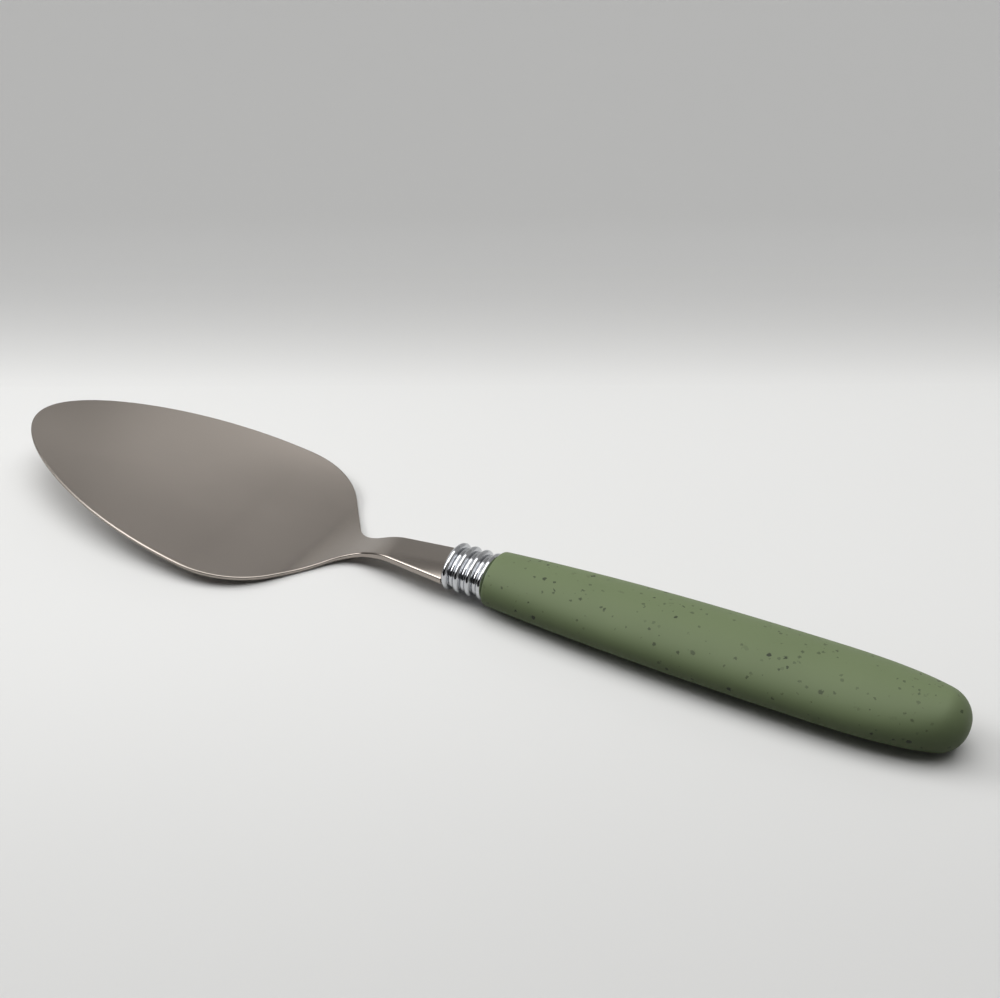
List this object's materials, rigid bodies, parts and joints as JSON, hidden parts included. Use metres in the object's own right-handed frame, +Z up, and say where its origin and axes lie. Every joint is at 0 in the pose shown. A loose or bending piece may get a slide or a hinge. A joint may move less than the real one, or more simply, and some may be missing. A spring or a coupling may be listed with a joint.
{
  "type": "cake server",
  "caption": "Cake server with a shallow egg-shaped steel blade on a cranked neck, a ringed oval chrome ferrule and a speckled oval handle, for cutting under and lifting slices.",
  "frame": {"origin": "on the table, halfway along the server and on its middle plane", "axes": "+X from the blade's tip to the handle's end, +Y across the blade, +Z up from the table"},
  "size_m": [0.27, 0.0624, 0.0153],
  "materials": {
    "steel": "satin stainless steel with a fine lengthwise grain",
    "chrome": "polished chrome plate",
    "resin": "matt sage-green cast resin with small dark specks",
    "cement": "hardened pale resin cement, hidden inside the handle"
  },
  "bodies": {
    "root": {"blade": "steel", "ferrule": "chrome", "handle": "resin", "tang_cement": "cement"}
  },
  "joints": []
}
